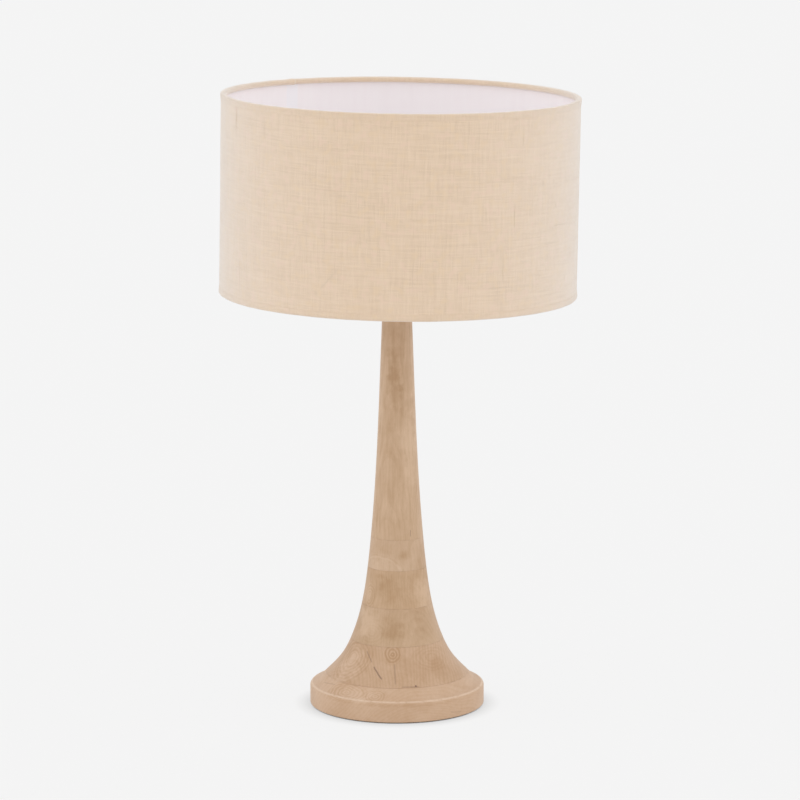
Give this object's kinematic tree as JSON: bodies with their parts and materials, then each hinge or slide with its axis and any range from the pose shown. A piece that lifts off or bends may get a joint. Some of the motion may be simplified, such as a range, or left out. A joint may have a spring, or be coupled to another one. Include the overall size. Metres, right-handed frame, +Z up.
{
  "type": "column table lamp",
  "caption": "Turned wood column on a round flared foot, with a straight drum shade of slub cloth on a gimbal fitter, a screw lampholder and a bulb.",
  "frame": {"origin": "centre of the felt pad's underside, on the table, on the column's axis", "axes": "+Z up along the column, -Y towards the side that the picture shows, +X to its right"},
  "size_m": [0.3545, 0.3516, 0.6087],
  "materials": {
    "wood": "turned, bleached pale, dull wax",
    "felt": "brown felt",
    "gland_plastic": "moulded, pale",
    "steel": "zinc plated",
    "brass": "satin, lacquered",
    "holder_plastic": "moulded thermoset",
    "insulator": "glazed ceramic",
    "frame_wire": "white powder coat",
    "shade_cloth": "natural slub weave",
    "shade_lining": "white laminate, matt",
    "bulb_glass": "opal",
    "bulb_metal": "plated, satin",
    "bulb_black_glass": "dark vitrite",
    "filament": "phosphor coated"
  },
  "bodies": {
    "column": {"felt_pad": "felt", "foot_board": "wood", "flare_block_1": "wood", "flare_block_2": "wood", "flare_block_3": "wood", "flare_block_4": "wood", "column_post": "wood", "cord_gland": "gland_plastic", "threaded_tube": "steel", "bottom_washer": "steel", "lock_washer": "steel", "bottom_nut": "steel", "vase_cap": "brass", "holder_cap": "holder_plastic", "holder_insert": "insulator", "terminal_blocks": "brass", "terminal_screws": "steel", "screw_shell": "brass", "centre_contact": "brass", "holder_skirt": "holder_plastic", "lower_shade_ring": "holder_plastic", "upper_shade_ring": "holder_plastic"},
    "switch": {"switch_bar": "brass"},
    "fitter": {"fitter_ring": "frame_wire"},
    "shade": {"gimbal_ring": "frame_wire", "gimbal_pins": "steel", "spider_arms": "frame_wire", "bottom_wire": "frame_wire", "top_wire": "frame_wire", "shade_cloth": "shade_cloth", "shade_lining": "shade_lining", "seam_tape": "shade_lining", "top_hem": "shade_cloth", "bottom_hem": "shade_cloth"},
    "bulb_lift": {"bulb_tip": "bulb_metal"},
    "bulb": {"bulb_insulator": "bulb_black_glass", "bulb_screw_cap": "bulb_metal", "bulb_glass": "bulb_glass", "bulb_stem": "bulb_glass", "filament_supports": "bulb_metal", "filaments": "filament"}
  },
  "joints": [
    {"name": "shade_turn", "type": "hinge", "parent": "column", "child": "fitter", "pos_m": [0.0015, 0, 0.4517], "axis": [0, 0, 1], "continuous": true},
    {"name": "shade_tilt", "type": "hinge", "parent": "fitter", "child": "shade", "pos_m": [0.0015, 0, 0.4517], "axis": [0, 1, 0], "range_deg": [-12.9, 11.1]},
    {"name": "switch_push", "type": "slide", "parent": "column", "child": "switch", "axis": [-1, 0, 0], "range_m": [0, 0.006]},
    {"name": "bulb_rise", "type": "slide", "parent": "column", "child": "bulb_lift", "axis": [0, 0, 1], "range_m": [0, 0.00907]},
    {"name": "bulb_turn", "type": "hinge", "parent": "bulb_lift", "child": "bulb", "pos_m": [0, 0, 0.4475], "axis": [0, 0, 1], "range_deg": [0, 900]}
  ],
  "couplings": [
    {"joint": "bulb_turn", "follows": "bulb_rise", "rad_per_m": 1731.4}
  ]
}
